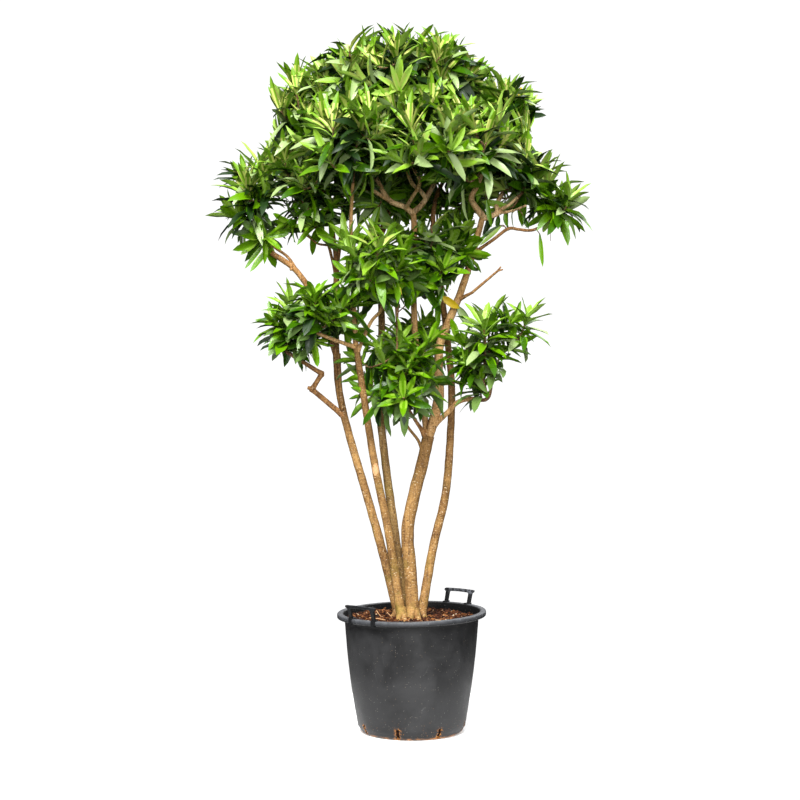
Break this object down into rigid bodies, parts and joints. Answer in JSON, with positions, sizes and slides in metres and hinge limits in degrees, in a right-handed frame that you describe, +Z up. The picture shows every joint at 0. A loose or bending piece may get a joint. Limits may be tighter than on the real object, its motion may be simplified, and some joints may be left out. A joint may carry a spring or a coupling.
{
  "type": "potted dracaena",
  "caption": "Tall multi-stemmed dracaena with a broad open crown of strap-shaped leaves, standing in a round black nursery pot with carrying handles.",
  "frame": {"origin": "centre of the pot's flat underside, on the surface that it stands on", "axes": "+Z up, -Y towards the front of the picture's view, +X to the right in that view"},
  "size_m": [1.3965, 1.0539, 2.6037],
  "materials": {
    "pot_plastic": "matte black moulded plastic, dusty and scuffed",
    "handle_plastic": "satin black moulded plastic",
    "potting_mix": "loose brown bark chips and peat",
    "bark": "tan bark with fine ring scars",
    "foliage": "glossy green leaves with paler margins"
  },
  "bodies": {
    "root": {"bough_back": "bark", "bough_far_left": "bark", "bough_far_left_shoot": "bark", "bough_far_right": "bark", "bough_front": "bark", "bough_front_left": "bark", "bough_left_back": "bark", "bough_left_front": "bark", "bough_left_inner": "bark", "bough_left_top": "bark", "bough_low_back": "bark", "bough_low_mid": "bark", "bough_low_right": "bark", "bough_main": "bark", "bough_mid_front": "bark", "bough_mid_right": "bark", "bough_right_back": "bark", "bough_right_front": "bark", "bough_right_low": "bark", "bough_right_top": "bark", "bough_top_back": "bark", "bough_top_front": "bark", "bough_top_left": "bark", "bough_top_right": "bark", "bough_up": "bark", "bough_zigzag": "bark", "dead_twig": "bark", "foliage_back": "foliage", "foliage_far_left": "foliage", "foliage_far_right": "foliage", "foliage_front": "foliage", "foliage_front_left": "foliage", "foliage_inner": "foliage", "foliage_left_back": "foliage", "foliage_left_front": "foliage", "foliage_left_inner": "foliage", "foliage_left_top": "foliage", "foliage_low_back": "foliage", "foliage_low_left": "foliage", "foliage_low_mid": "foliage", "foliage_low_right": "foliage", "foliage_mid_front": "foliage", "foliage_mid_right": "foliage", "foliage_right_back": "foliage", "foliage_right_front": "foliage", "foliage_right_low": "foliage", "foliage_right_top": "foliage", "foliage_top_back": "foliage", "foliage_top_front": "foliage", "foliage_top_left": "foliage", "foliage_top_right": "foliage", "handle_back": "handle_plastic", "handle_front": "handle_plastic", "pot": "pot_plastic", "soil": "potting_mix", "stem_back": "bark", "stem_front": "bark", "stem_knee": "bark", "stem_left": "bark", "stem_right": "bark"}
  },
  "joints": []
}
